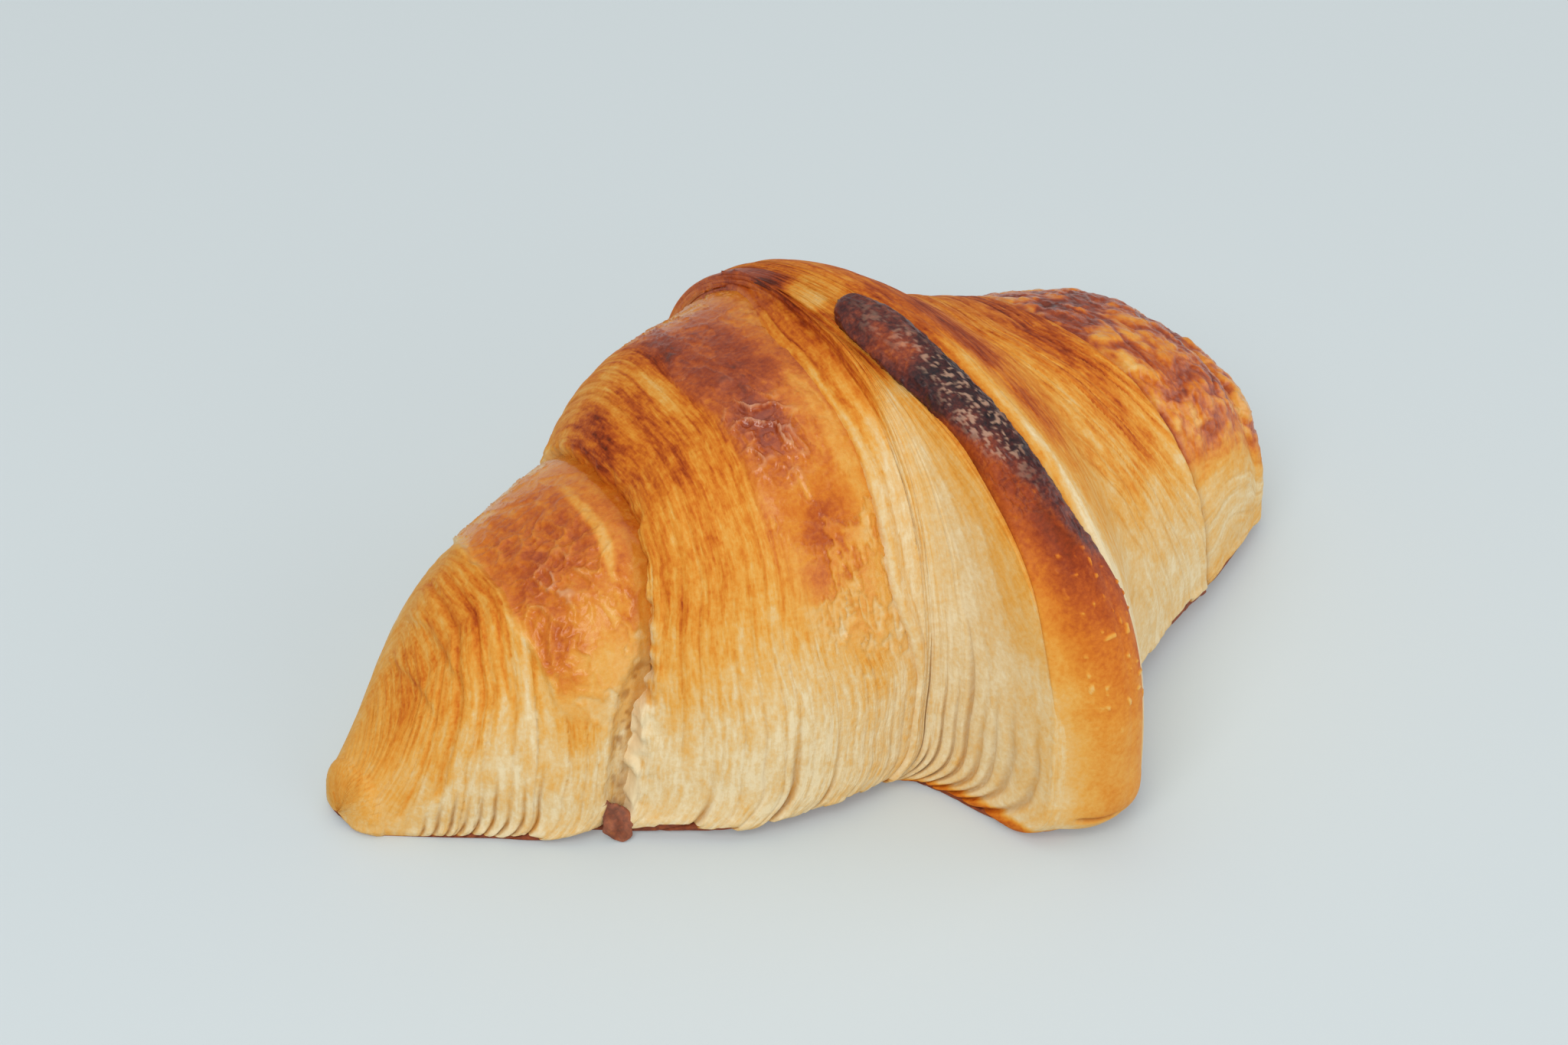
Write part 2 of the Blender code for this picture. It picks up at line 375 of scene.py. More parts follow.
class Piece:
    """A closed surface on a grid, whose rows go round a ring and whose columns go along it.

    It carries a field for each look: bake (browning), gap (painted shade between layers, in slits and
    hollows and under the foot), char, a pale film (dry film on char, and painted highlights on wrinkle
    crests), glaze, cut (how far the surface is cut layers) and grain (place across and along the layers).
    """

    def __init__(self, name, u, angle, points, normal):
        self.name = name
        self.u = u
        self.angle = angle
        self.points = points
        self.normal = normal
        self.over = 90.0 - np.abs(angle - 90.0)      # angle up from the nearer foot, 90 on top
        self.height = points[..., 2] - FLOOR
        for look in ("relief", *LOOKS, "across", "along"):
            setattr(self, look, np.zeros_like(u))

    def from_seam(self, number):
        """Distance along the roll from a seam."""
        seam = place_along(form_place(0.0 * self.u + number, self.angle), self.angle)
        return self.points[..., 0] - FORM_SHIFT[0] - seam

    def spot(self, u, u_reach, angle, angle_reach, seed, rough=0.35, size=5.0):
        """Soft oval, 1 in its middle and 0 outside, whose edge a field pushes in and out."""
        away = np.hypot((self.u - u) / u_reach, (self.angle - angle) / angle_reach)
        away = away + rough * rough_field(self.points, size, seed)
        return 1.0 - ease(away, 0.35, 1.15)

    def shape_layers(self, edges, depth, share, seed, waver=0.5, place=None, along=None, tint=1.0):
        """Cut layers as low ridges between the edges, each made of five thinner sheets.

        The edges waver, part and close up as they go round. A ridge is a power of a sine of a skewed fraction
        of its layer; heights and tints differ from layer to layer and sheet to sheet, and drift along them.
        """
        place = self.u if place is None else place
        along = self.along if along is None else along
        thick = (edges[-1] - edges[0]) / (len(edges) - 1)
        drift = 0.8 * field(self.points, 16.0, seed) + 0.25 * field(self.points, 5.0, seed + 1)
        self.place = place + thick * waver * drift
        phase = np.interp(self.place, edges, np.arange(len(edges)))
        layer = np.floor(phase)
        part = phase - layer
        skew = 1.35 + 0.6 * layer_noise(layer, along, 30.0, seed + 6)
        ridge = np.sin(np.pi * part**skew) ** 0.6
        strength = np.clip(0.35 + 0.8 * layer_noise(layer, along, 14.0, seed + 2), 0.05, 1.0)
        step = layer_noise(layer, along, 24.0, seed + 7)
        sheet = 5.0 * phase + 0.5 * field(self.points, 6.0, seed + 8)
        sheet_step = layer_noise(np.floor(sheet), along, 12.0, seed + 9)
        self.relief += share * (depth * (strength * (ridge - 0.7) + 0.5 * step) + 0.07 * sheet_step)
        edge = np.minimum(part, 1.0 - part)
        width = 0.06 + 0.04 * layer_noise(layer, along, 8.0, seed + 5)
        # Painted shade along the edges between layers.
        self.gap += share * 0.35 * strength * np.exp(-(edge / width) ** 2)
        spread = share * tint * (0.4 + 0.6 * ease(self.over, 0.0, 40.0))
        self.bake += spread * (0.14 * layer_noise(layer, along, 30.0, seed + 4) + 0.10 * sheet_step)
        self.bake += spread * 0.12 * strength * (0.75 - ridge)
        self.cut = np.maximum(self.cut, share)
        self.across = phase

    def brown(self, *patches):
        """Bakes soft-edged patches darker, or paler where the amount is below 0."""
        for amount, *oval in patches:
            self.bake += amount * self.spot(*oval)

    def groove(self, at, low, high, width, depth, tint, shade=0.0):
        """A groove along the layers at one place, between two angles, which tints and shades it."""
        fade = ease(self.angle, low - 4.0, low + 4.0) * (1.0 - ease(self.angle, high - 10.0, high + 10.0))
        hollow = fade * np.exp(-((self.place - at) / width) ** 2)
        self.relief -= depth * hollow
        self.bake += tint * hollow
        # Painted shade in the groove.
        self.gap += shade * hollow

    def bake_foot(self, seed, lower=0.0):
        """Ends each layer at its own height above the ground, over the brown, undercut foot."""
        behind = self.angle > 90.0
        layer = np.floor(self.across) + 60.0 * behind
        plate = np.floor(layer / 2.0 + 0.4 * np.sin(layer))
        edge = curve(self.u, *FOOT_LINE) * np.where(behind, 0.55, 1.0) - lower
        edge = edge + 0.9 * layer_noise(plate, 0.0 * self.along, 1.0, seed)
        edge = edge + 0.45 * layer_noise(layer, 0.0 * self.along, 1.0, seed + 4)
        edge = edge + 0.45 * field(self.points, 2.6, seed + 1)
        soft = 0.2 + 0.5 * ease(self.u, 4.9, 5.6)
        below = ease(self.height, edge + soft, edge - soft)
        lip = np.exp(-((self.height - edge - 0.8) / 0.7) ** 2)
        self.relief += 0.25 * lip * (0.6 + layer_noise(layer, self.along, 9.0, seed + 2)) - 0.6 * below
        # Painted shade over the undercut foot; its brown below is the baked underside.
        self.gap += 0.4 * below
        brown = 0.82 + 0.16 * rough_field(self.points, 5.0, seed + 3)
        self.bake = self.bake * (1.0 - below) + below * brown
        self.char = self.char + 0.26 * below
        self.pale_film_and_glint = self.pale_film_and_glint + 0.10 * below
        self.cut = self.cut * (1.0 - 0.8 * below)

    def under_tongue(self):
        """1 where the tongue covers the rings, between its foot and its tip, and 0 elsewhere."""
        return (1.0 - ease(self.angle, 86.0, 90.0)) * ease(self.angle, -26.0, -18.0)

    def peel(self, share, size, seed):
        """Crisp-edged scraps of the outermost film: some missing, which shows paler dough a hair deeper."""
        stretched = self.points * np.array([2.2, 0.8, 0.7])
        scraps = rough_field(stretched, size, seed, 3) + 0.25 * crumple(self.points, 0.5 * size, seed + 3)
        bare = ease(scraps, 0.12, 0.30) - ease(scraps, 0.46, 0.62)
        curl = np.exp(-((scraps - 0.14) / 0.05) ** 2)
        self.relief += share * (0.10 * curl - 0.08 * bare)
        self.bake += share * (0.02 * curl - 0.07 * bare)

    def slide_under(self, number, side, shade=0.4):
        """Rounds the end down so that it passes under the neighbour at a seam."""
        before = -side * self.from_seam(number)
        self.relief -= 0.6 * np.clip(1.0 - before / 4.0, 0.0, 1.0) ** 2 + 1.2 * np.clip(-before, 0.0, 1.5)
        # Painted shade where the end passes under the neighbour.
        self.gap += shade * np.exp(-(np.clip(before, 0.0, None) / 0.7) ** 2)

    def lie_over(self, number, side, lift, torn, seed, ahead=0.0):
        """Ends in a steep, slightly torn edge that lies over the neighbour at a seam."""
        inside = ahead + side * self.from_seam(number) - torn * (1.0 + rough_field(self.points, 2.6, seed))
        width = 0.7 + 1.3 * ease(self.over, 50.0, 80.0)
        self.relief -= lift * np.clip(1.0 - inside / width, 0.0, 1.5) ** 2
        self.relief += 0.25 * np.exp(-((inside - 1.3) / 0.8) ** 2) * ease(self.over, 70.0, 40.0)

    def build(self, material):
        """Moves the grid out by its relief, closes both ends and puts the fields on the mesh."""
        kept = ease(self.height, 0.0, 1.2)
        points = self.points + self.normal * (self.relief * kept)[..., None]
        points[..., 2] = np.maximum(points[..., 2], FLOOR)
        rows, columns = self.u.shape
        number = np.arange(rows * columns).reshape(rows, columns)
        after = np.roll(number, -1, axis=0)
        quads = np.stack([number[:, :-1], number[:, 1:], after[:, 1:], after[:, :-1]], -1).reshape(-1, 4)
        start_fan = np.stack([np.full(rows, rows * columns), number[:, 0], after[:, 0]], -1)
        end_fan = np.stack([np.full(rows, rows * columns + 1), after[:, -1], number[:, -1]], -1)
        hearts = np.stack([points[:, 0].mean(axis=0), points[:, -1].mean(axis=0)])
        places = np.concatenate([points.reshape(-1, 3), hearts]) * MM
        corners = np.concatenate([quads.ravel(), start_fan.ravel(), end_fan.ravel()])
        sizes = np.concatenate([np.full(len(quads), 4), np.full(2 * rows, 3)])

        mesh = bpy.data.meshes.new(self.name)
        mesh.vertices.add(len(places))
        mesh.vertices.foreach_set("co", places.ravel())
        mesh.loops.add(len(corners))
        mesh.loops.foreach_set("vertex_index", corners)
        mesh.polygons.add(len(sizes))
        mesh.polygons.foreach_set("loop_start", np.concatenate([[0], np.cumsum(sizes)[:-1]]))
        mesh.polygons.foreach_set("loop_total", sizes)
        mesh.update(calc_edges=True)
        mesh.shade_smooth()
        self.add_map(mesh, points)
        for look in LOOKS:
            values = getattr(self, look)
            values = np.concatenate([values.ravel(), [values[:, 0].mean(), values[:, -1].mean()]])
            mesh.attributes.new(look, "FLOAT", "POINT").data.foreach_set("value", values.astype(np.float32))
        grain = np.stack([self.across, self.along, 0.0 * self.along], -1).reshape(-1, 3)
        grain = np.concatenate([grain, grain[:1], grain[-1:]]).astype(np.float32)
        mesh.attributes.new("grain", "FLOAT_VECTOR", "POINT").data.foreach_set("vector", grain.ravel())
        mesh.materials.append(material)
        piece = bpy.data.objects.new(self.name, mesh)
        bpy.context.scene.collection.objects.link(piece)
        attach(piece, "root")
        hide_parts("croissant")
        return piece

    def add_map(self, mesh, points):
        """UV map in true proportion: columns by their mean distance apart, rows by the mean way round."""
        rows, columns = self.u.shape
        step_on = np.linalg.norm(np.diff(points, axis=1), axis=-1).mean(axis=0)
        step_round = np.linalg.norm(np.roll(points, -1, axis=0) - points, axis=-1).mean(axis=1)
        margin = 4.0
        on = margin + np.concatenate([[0.0], np.cumsum(step_on)])
        way_round = np.concatenate([[0.0], np.cumsum(step_round)])
        size = max(on[-1] + margin, way_round[-1])
        on = on / size
        way_round = way_round / size
        low, high = way_round[:-1], way_round[1:]
        quad_u = np.stack([on[:-1], on[1:], on[1:], on[:-1]], -1)
        quad_v = np.stack([low, low, high, high], -1)
        quad_map = np.stack(np.broadcast_arrays(quad_u[None], quad_v[:, None]), -1).reshape(-1, 2)
        middle = 0.5 * (low + high)
        start_map = np.stack([np.stack([0.0 * low, 0.0 * low + on[0], 0.0 * low + on[0]], -1),
                              np.stack([middle, low, high], -1)], -1).reshape(-1, 2)
        rim = on[-1] + margin / size
        end_map = np.stack([np.stack([0.0 * low + rim, 0.0 * low + on[-1], 0.0 * low + on[-1]], -1),
                            np.stack([middle, high, low], -1)], -1).reshape(-1, 2)
        corner_map = np.concatenate([quad_map, start_map, end_map]).astype(np.float32)
        mesh.uv_layers.new(name="OFBake").uv.foreach_set("vector", corner_map.ravel())


def form_place(wraps, angle):
    """Place on the form of a place counted in wraps: the second wrap ends a little before the form's seam."""
    early = 0.12 * ease(angle, 5.0, 32.0) * (1.0 - ease(angle, 95.0, 125.0))
    second = 1.0 + (wraps - 1.0) * (1.0 - early)
    third = 2.0 - early + (wraps - 2.0) * (1.0 + early)
    return np.where(wraps < 1.0, wraps, np.where(wraps < 2.0, second, np.where(wraps < 3.0, third, wraps)))


def ring_piece(name, columns):
    """Piece made of whole rings of the form at the given places along the roll."""
    u, angle = np.meshgrid(columns, ring_angles())
    points = dough_form(form_place(u, angle), angle) + FORM_SHIFT
    piece = Piece(name, u, angle, points, outward(points))
    piece.along = lengths(points, 0)
    return piece


def spaced(*runs):
    """Places along the roll: evenly spaced runs of (first, last, count), end to end."""
    shared = [np.linspace(*run)[:-1] for run in runs[:-1]]
    return np.concatenate([*shared, np.linspace(*runs[-1])])


def curve(at, *stops):
    """Smooth curve through (place, value) pairs."""
    return smooth_through(at, *np.transpose(stops))


def linear(red, green, blue):
    """Colour given in display values from 0 to 255, as the shader's linear values."""
    values = np.array([red, green, blue]) / 255.0
    return tuple(np.where(values <= 0.04045, values / 12.92, ((values + 0.055) / 1.055) ** 2.4))


# How the dough browns, from hardly baked at the foot to dark on the tops, and how it chars after that.
BROWNING = (
    (0.00, 235, 213, 170),
    (0.10, 228, 197, 144),
    (0.22, 227, 180, 108),
    (0.34, 227, 164, 74),
    (0.46, 222, 143, 48),
    (0.60, 208, 114, 28),
    (0.72, 182, 84, 22),
    (0.84, 148, 57, 16),
    (1.00, 92, 33, 10),
)
CHARRING = (
    (0.00, 172, 92, 40),
    (0.22, 132, 60, 38),
    (0.42, 99, 42, 32),
    (0.62, 72, 31, 28),
    (0.80, 50, 24, 25),
    (1.00, 26, 15, 20),
)
# Pale film colour: the dry film on burnt crust, and painted highlights on the crests of glazed wrinkles.
PALE_FILM_AND_GLINT = (*linear(208, 164, 136), 1.0)     # the dry, curled film on burnt crust
GAP_SHADE = (0.46, 0.28, 0.15, 1.0)


def feed(tree, socket, value):
    """Links an input to another node's output, or sets it to a plain value."""
    if isinstance(value, bpy.types.NodeSocket):
        tree.links.new(value, socket)
    else:
        socket.default_value = value


def node(tree, kind, **inputs):
    """A node of the kind, with its inputs given by name, or by number after an underscore."""
    made = tree.nodes.new(kind)
    for name, value in inputs.items():
        feed(tree, made.inputs[int(name[1:]) if name[0] == "_" else name], value)
    return made


def maths(tree, operation, first, second=0.0, third=0.0, clamp=False):
    """Result of a Math node on sockets or numbers."""
    made = node(tree, "ShaderNodeMath", _0=first, _1=second, _2=third)
    made.operation = operation
    made.use_clamp = clamp
    return made.outputs[0]


def attribute(tree, name, output="Fac"):
    """A field that the mesh carries."""
    made = tree.nodes.new("ShaderNodeAttribute")
    made.attribute_name = name
    return made.outputs[output]


def ramp(tree, value, stops):
    """Colour ramp with stops given as place, red, green and blue."""
    made = node(tree, "ShaderNodeValToRGB", Fac=value)
    elements = made.color_ramp.elements
    while len(elements) < len(stops):
        elements.new(0.5)
    for element, (place, *colour) in zip(elements, stops):
        element.position = place
        element.color = (*linear(*colour), 1.0)
    return made.outputs["Color"]


def mix(tree, share, first, second, blend="MIX"):
    """Two colours mixed by a share."""
    made = tree.nodes.new("ShaderNodeMix")
    made.data_type = "RGBA"
    made.blend_type = blend
    sockets = [s for s in made.inputs if s.enabled]
    for socket, value in zip(sockets, (share, first, second)):
        feed(tree, socket, value)
    return [s for s in made.outputs if s.enabled][0]


def noise(tree, vector, scale, detail, roughness):
    """Noise from 0 to 1 on a vector."""
    made = node(tree, "ShaderNodeTexNoise", Vector=vector, Scale=scale, Detail=detail, Roughness=roughness)
    return made.outputs["Fac"]


def stretched(tree, vector, times):
    """Vector with each part multiplied, which makes a pattern on it finer along that part."""
    made = node(tree, "ShaderNodeVectorMath", _0=vector, _1=times)
    made.operation = "MULTIPLY"
    return made.outputs[0]


def crust_material():
    """Baked dough: browning by a field and noise, darker gaps between layers, charred and peeled spots.

    Fine streaks run along the cut layers, and the glazed skins are smoother and glossier than the cut edges.
    """
    material = bpy.data.materials.new("baked crust")
    material.use_nodes = True
    tree = material.node_tree
    shader = tree.nodes["Principled BSDF"]
    place = tree.nodes.new("ShaderNodeTexCoord").outputs["Object"]
    grain = attribute(tree, "grain", "Vector")
    cut = attribute(tree, "cut")
    bake = attribute(tree, "bake")
    char = attribute(tree, "char")
    glaze = attribute(tree, "glaze")
    streaks = noise(tree, stretched(tree, grain, (2.2, 0.16, 1.0)), 1.0, 4.0, 0.6)
    flecks = noise(tree, stretched(tree, grain, (4.6, 0.42, 1.0)), 1.0, 2.0, 0.5)
    patches = noise(tree, place, 260.0, 5.0, 0.6)
    specks = noise(tree, place, 1500.0, 3.0, 0.6)
    streaks_about, flecks_about, patches_about, specks_about = [
        maths(tree, "SUBTRACT", value, 0.5) for value in (streaks, flecks, patches, specks)]
    uneven = maths(tree, "MULTIPLY", patches_about, 0.34)
    uneven = maths(tree, "ADD", uneven, maths(tree, "MULTIPLY", specks_about, 0.28))
    lined = maths(tree, "MULTIPLY", maths(tree, "MULTIPLY", streaks_about, 0.52), cut)
    fleck_share = maths(tree, "MULTIPLY", cut, maths(tree, "MULTIPLY_ADD", bake, 0.26, 0.22, clamp=True))
    lined = maths(tree, "MULTIPLY_ADD", flecks_about, fleck_share, lined)
    browned = maths(tree, "ADD", maths(tree, "ADD", bake, uneven), lined, clamp=True)
    colour = ramp(tree, browned, BROWNING)
    burnt = ramp(tree, maths(tree, "MULTIPLY_ADD", specks_about, 1.1, char, clamp=True), CHARRING)
    colour = mix(tree, maths(tree, "MULTIPLY", char, 2.2, clamp=True), colour, burnt)
    # Pale film: dry film on the char, and painted highlights on the crests of glazed wrinkles.
    colour = mix(tree, attribute(tree, "pale_film_and_glint"), colour, PALE_FILM_AND_GLINT)
    # Painted shade in the gaps between layers, in slits, hollows, seams and under the foot.
    gap = maths(tree, "MULTIPLY", attribute(tree, "gap"), 0.75, clamp=True)
    colour = mix(tree, gap, colour, GAP_SHADE, "MULTIPLY")
    tree.links.new(colour, shader.inputs["Base Color"])
    rough = maths(tree, "SUBTRACT", 0.62, maths(tree, "MULTIPLY", glaze, 0.34))
    rough = maths(tree, "ADD", rough, maths(tree, "MULTIPLY", patches_about, 0.25), clamp=True)
    tree.links.new(rough, shader.inputs["Roughness"])
    height = maths(tree, "MULTIPLY", maths(tree, "ADD", streaks, maths(tree, "MULTIPLY", flecks, 0.8)), cut)
    height = maths(tree, "ADD", maths(tree, "MULTIPLY", specks, 0.5), height)
    bump = node(tree, "ShaderNodeBump", Height=height, Strength=0.45, Distance=0.0004)
    tree.links.new(bump.outputs["Normal"], shader.inputs["Normal"])
    tree.links.new(maths(tree, "MULTIPLY", glaze, 0.13), shader.inputs["Coat Weight"])
    shader.inputs["Coat Roughness"].default_value = 0.16
    tree.links.new(maths(tree, "MULTIPLY_ADD", glaze, 0.14, 0.12), shader.inputs["Specular IOR Level"])
    return material


CRUST = crust_material()


def tip_wrap():
    """Rings from the tip's pole to a little under the next wrap."""
    caps = -0.5 * np.cos(np.linspace(0, 0.5 * np.pi, 16))[:-1]
    wrap = ring_piece("thin_tip_wrap", np.concatenate([caps, np.linspace(0, 1.04, 174)]))
    # Where the skin starts, with a torn edge, and how the bake rises up the side.
    skin_from = curve(wrap.over, (-90, 1.3), (0, 1.3), (14, 1), (28, 0.67), (40, 0.63), (78, 0.55),
                      (90, 0.55))
    torn = wrap.u + 0.012 * field(wrap.points, 9, 5) + 0.006 * field(wrap.points, 2.2, 10)
    loose = ease(wrap.over, 34, 14)
    skin = ease(torn, skin_from - 0.008 - 0.1 * loose, skin_from + 0.012 + 0.1 * loose)
    wrap.bake += curve(wrap.over, (-90, 0.78), (-52, 0.6), (-42, 0.12), (3, 0.1), (20, 0.19), (40, 0.29),
                       (60, 0.38), (78, 0.46), (90, 0.5))
    wrap.bake += 0.14 * ease(wrap.u, 0.22, 0.02) * ease(wrap.over, 45, 5)
    wrap.bake -= 0.12 * ease(wrap.u, 0.18, 0) * ease(wrap.over, 50, 90)
    wrap.relief += 0.7 * rough_field(wrap.points, 16, 3, 2)
    # The layers fan out from the tip and close up over the top.
    fan = curve(wrap.angle, (-90, 0), (0, 0), (50, 0.5), (100, 1), (125, 1.12), (160, 0.7), (200, 0),
                (270, 0))
    place = np.where(wrap.u < 0.55, (wrap.u - 0.33 * fan) / (1 - 0.6 * fan), wrap.u)
    quiet = (0.45 + 0.55 * ease(wrap.u, 0.04, 0.24)) * (1 - 0.45 * ease(wrap.angle, 95, 135))
    wrap.shape_layers(layer_edges(-3, 1.06, 42, 4), 0.42, quiet * (1 - 0.93 * skin), 11, place=place)
    wrap.groove(0.19, 12, 125, 0.022, 0.45, 0.2, 0.1)
    wrap.groove(0.05, 6, 110, 0.018, 0.3, 0.14)
    wrap.groove(0.33, 24, 110, 0.015, 0.3, 0.12)
    wrap.groove(0.46, 40, 118, 0.016, 0.35, 0.14)
    # Slits between the teeth of the foot, dark with painted shade.
    for number in range(9):
        wrap.groove(0.17 + 0.055 * number, -70, -2 + 3 * (number % 3), 0.007, 0.8, 0.1, 0.8)
    # Two stepped ledges of layers, the skin a little proud of them, and its curled edge.
    step = ease(wrap.u + 0.02 * field(wrap.points, 4, 6), 0.335, 0.355) * ease(wrap.over, 45, 75)
    ledge = ease(wrap.u + 0.02 * field(wrap.points, 4, 7), 0.225, 0.245) * ease(wrap.over, 50, 78)
    wrap.relief += 0.6 * skin * (1 - loose) + (0.9 * step + 0.7 * ledge) * (1 - skin)
    flap = np.exp(-((torn - skin_from - 0.006) / 0.013) ** 2)
    flap = flap * ease(wrap.over, 30, 38) * ease(wrap.over, 86, 76)
    flap = flap * np.clip(0.55 + 0.9 * rough_field(wrap.points, 3, 26, 2), 0, 1)
    wrap.relief += 0.4 * flap
    wrap.bake += 0.11 * skin - 0.28 * flap
    wrap.glaze += skin
    wrap.brown((0.1, 0.78, 0.2, 104, 26, 2), (0.1, 0.67, 0.08, 84, 14, 3), (0.14, 0.69, 0.11, 50, 22, 7),
               (0.12, 0.8, 0.14, 24, 12, 8), (0.14, 0.96, 0.05, 60, 18, 6),
               (-0.24, 0.915, 0.028, 88, 26, 9))
    wrap.bake -= 0.1 * skin * ease(wrap.over, 50, 25)
    # Creased film on the skin, with painted highlights on the crests of its creases.
    creased = wrap.spot(0.74, 0.22, 86, 30, 2, 0.3) + wrap.spot(0.66, 0.1, 60, 24, 3, 0.3)
    creased = np.clip(creased, 0, 1)
    film = crumple(wrap.points, 2.4, 8)
    wrap.relief += skin * (0.08 + 0.75 * creased) * (film - 0.3)
    wrap.bake += skin * creased * 0.16 * (0.35 - film)
    wrap.pale_film_and_glint += 0.45 * skin * wrap.spot(0.72, 0.1, 76, 14, 24, 0.3) * ease(film, 0.45, 0.75)
    wrap.peel(skin * (0.8 + 0.8 * ease(wrap.over, 70, 50)), 6, 9)
    # A crumbly hollow beside the foot of the seam, speckled with painted shade.
    hollow = wrap.spot(0.98, 0.09, 14, 26, 16, 0.4, 3)
    wrap.relief -= 1.2 * hollow
    wrap.bake += 0.06 * hollow
    wrap.gap += 0.8 * hollow * ease(rough_field(wrap.points, 1.3, 17, 2), 0.05, 0.35)
    wrap.bake_foot(71)
    wrap.slide_under(1, 1)
    return wrap.build(CRUST)


tip_wrap()


# ------------------------------------------------------------------------------
# Left wrap. The next turn of the same dough, rolled over the first: a fan of cut layers towards the tip, then
# the egg-washed skin, which baked darkest on top and blistered in front. It ends in a torn edge that lies
# over the thin tip's wrap.

def left_wrap():
    """Rings between the first two seams: cut layers on the tip's side, glazed skin towards the middle."""
    wrap = ring_piece("left_wrap", spaced((1, 1.07, 20), (1.07, 1.54, 96), (1.54, 2.04, 80)))
    skin_from = curve(wrap.over, (-90, 2.3), (0, 2.3), (10, 2.05), (26, 1.62), (60, 1.49), (90, 1.46))
    torn = wrap.u + 0.04 * rough_field(wrap.points, 6, 5)
    loose = ease(wrap.over, 80, 40)
    skin = ease(torn, skin_from - 0.02 - 0.08 * loose, skin_from + 0.03 + 0.1 * loose)
    wrap.bake += curve(wrap.over, (-90, 0.78), (-52, 0.6), (-42, 0.1), (2, 0.09), (20, 0.25), (36, 0.42),
                       (52, 0.52), (70, 0.57), (84, 0.65), (90, 0.68))
    wrap.relief += 0.7 * rough_field(wrap.points, 18, 13, 2)
    wrap.shape_layers(layer_edges(0.98, 2.06, 20, 14), 0.34, 1 - 0.93 * skin, 21)
    # Slits up from the foot, dark with painted shade.
    wrap.groove(1.246, -70, -4, 0.01, 0.9, 0.1, 0.7)
    wrap.groove(1.49, -70, 2, 0.013, 1.1, 0.2, 0.8)
    wrap.groove(1.65, -70, -2, 0.008, 0.8, 0.1, 0.6)
    wrap.relief += 0.5 * skin * (1 - ease(wrap.over, 60, 40))
    wrap.glaze += skin
    wrap.brown((0.21, 1.66, 0.28, 106, 22, 12, 0.25), (0.2, 1.11, 0.1, 106, 16, 13),
               (0.14, 1.31, 0.06, 106, 14, 20), (-0.22, 1.4, 0.05, 101, 12, 22),
               (0.14, 1.64, 0.18, 76, 15, 14), (0.2, 1.74, 0.16, 43, 14, 16),
               (0.16, 1.5, 0.12, 118, 16, 24), (-0.14, 1.93, 0.06, 66, 34, 17),
               (0.1, 1.8, 0.12, 20, 12, 18))
    paler = (1 - ease(wrap.from_seam(1), 0.8, 3.2)) * ease(wrap.over, 66, 52)
    wrap.bake -= 0.24 * paler
    # Blistered, glossy film on the front of the skin, with painted highlights on the crests of its wrinkles.
    blisters = wrap.spot(1.65, 0.19, 77, 17, 14, 0.3)
    film = crumple(wrap.points, 2.3, 18)
    wrap.relief += skin * (0.14 + 1.1 * blisters) * (film - 0.3)
    wrap.glaze += 1.2 * blisters
    wrap.pale_film_and_glint += 0.5 * skin * blisters * ease(film, 0.45, 0.75)
    wrap.bake += skin * (0.04 + 0.2 * blisters) * (0.4 - film)
    wrap.peel(skin * (1 + 1 * ease(wrap.over, 62, 54)), 4, 19)
    wrap.peel(2.2 * wrap.spot(1.76, 0.16, 26, 16, 29, 0.4), 2.6, 30)
    wrap.bake_foot(72)
    # The swollen, torn edge over the first wrap.
    near_seam = 1 - ease(wrap.from_seam(1), 2, 14)
    wrap.relief += 1.6 * near_seam * ease(wrap.over, 45, 75)
    wrap.lie_over(1, 1, 1.1 + 0.8 * ease(wrap.over, 40, 65), 0.9, 15)
    torn_edge = np.exp(-((wrap.from_seam(1) - 1.2) / 1.5) ** 2) * ease(wrap.over, 50, 35)
    bites = np.clip(2.2 * rough_field(wrap.points, 2.4, 27, 2), -1, 1)
    wrap.relief += 0.7 * torn_edge * bites * ease(wrap.over, -12, 0)
    wrap.bake += torn_edge * (0.22 * np.clip(-2 * bites - 0.6, 0, 1) - 0.06)
    wrap.slide_under(2, 1, shade=0.25)
    return wrap.build(CRUST)


left_wrap()


# ------------------------------------------------------------------------------
# Left cut of the middle wrap. The widest turn, left of the tongue: the dough's own cut side, a pale stack of
# thin layers that fans down into deep folds over the foot, brown along the top. Its edge rises over the left
# wrap's skin, and its middle passes under the tongue.

